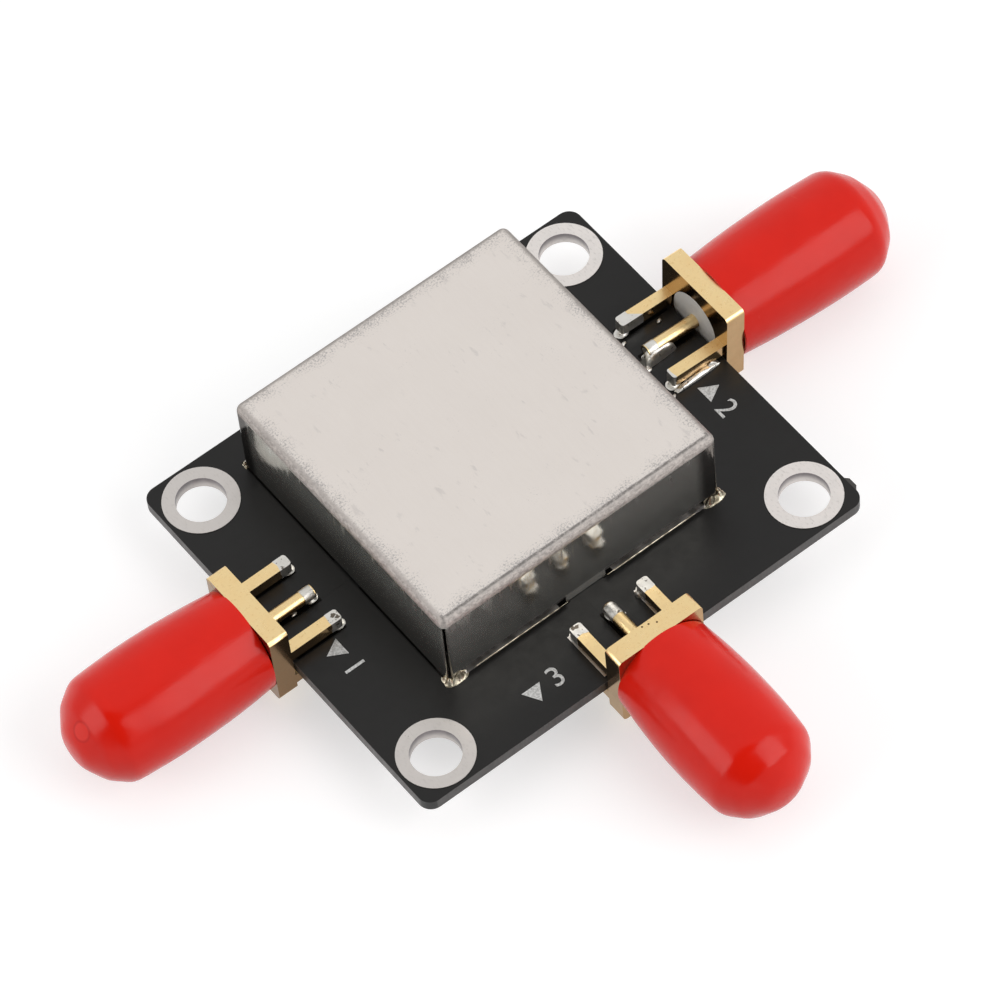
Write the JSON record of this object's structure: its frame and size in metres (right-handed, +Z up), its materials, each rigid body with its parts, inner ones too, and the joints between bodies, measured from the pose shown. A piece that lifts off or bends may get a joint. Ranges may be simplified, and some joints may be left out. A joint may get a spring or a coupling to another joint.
{
  "type": "double balanced mixer",
  "caption": "Radio frequency mixer board with a tinplate shield can over the circuit and capped edge-launch coaxial connectors for LO, RF and IF.",
  "frame": {"origin": "centre of the four mounting holes, on the board's underside", "axes": "+X along the board's long side from the LO to the RF connector, +Y away from the IF connector, +Z up from the board towards the shield can"},
  "size_m": [0.0623, 0.0422, 0.01],
  "materials": {
    "board_mask": "satin black solder mask on laminate",
    "tinned_copper": "tinned copper",
    "tinplate": "scuffed tinplate",
    "solder": "bright solder",
    "gold_plate": "gold plating on brass",
    "white_insulator": "white fluoropolymer",
    "red_vinyl": "glossy red dip-moulded vinyl",
    "ferrite": "grey-black ferrite",
    "enamelled_copper": "enamelled copper wire",
    "black_epoxy": "moulded epoxy",
    "tan_ceramic": "chip ceramic"
  },
  "bodies": {
    "board": {"circuit_board": "board_mask", "mounting_hole_plating": "tinned_copper", "can_ground_ring": "tinned_copper", "shield_can": "tinplate", "shield_can_solder": "solder", "lo_balun_core": "ferrite", "lo_balun_winding": "enamelled_copper", "rf_balun_core": "ferrite", "rf_balun_winding": "enamelled_copper", "diode_ring_package": "black_epoxy", "diode_ring_leads": "tinned_copper", "series_chip_bodies": "tan_ceramic", "series_chip_terminals": "tinned_copper", "component_pads": "tinned_copper", "lo_connector_body": "gold_plate", "lo_dielectric": "white_insulator", "lo_centre_contact": "gold_plate", "lo_pads": "tinned_copper", "lo_signal_trace": "board_mask", "lo_solder_joints": "solder", "rf_connector_body": "gold_plate", "rf_dielectric": "white_insulator", "rf_centre_contact": "gold_plate", "rf_pads": "tinned_copper", "rf_signal_trace": "board_mask", "rf_solder_joints": "solder", "if_connector_body": "gold_plate", "if_dielectric": "white_insulator", "if_centre_contact": "gold_plate", "if_pads": "tinned_copper", "if_signal_trace": "board_mask", "if_solder_joints": "solder"},
    "lo_cap": {"lo_dust_cap": "red_vinyl"},
    "rf_cap": {"rf_dust_cap": "red_vinyl"},
    "if_cap": {"if_dust_cap": "red_vinyl"}
  },
  "joints": [
    {"name": "lo_cap_pull", "type": "slide", "parent": "board", "child": "lo_cap", "axis": [-0.9999, 0, -0.014], "range_m": [0, 0.02]},
    {"name": "rf_cap_pull", "type": "slide", "parent": "board", "child": "rf_cap", "axis": [0.9986, 0, -0.0523], "range_m": [0, 0.02]},
    {"name": "if_cap_pull", "type": "slide", "parent": "board", "child": "if_cap", "axis": [0, -1, 0], "range_m": [0, 0.02]}
  ]
}
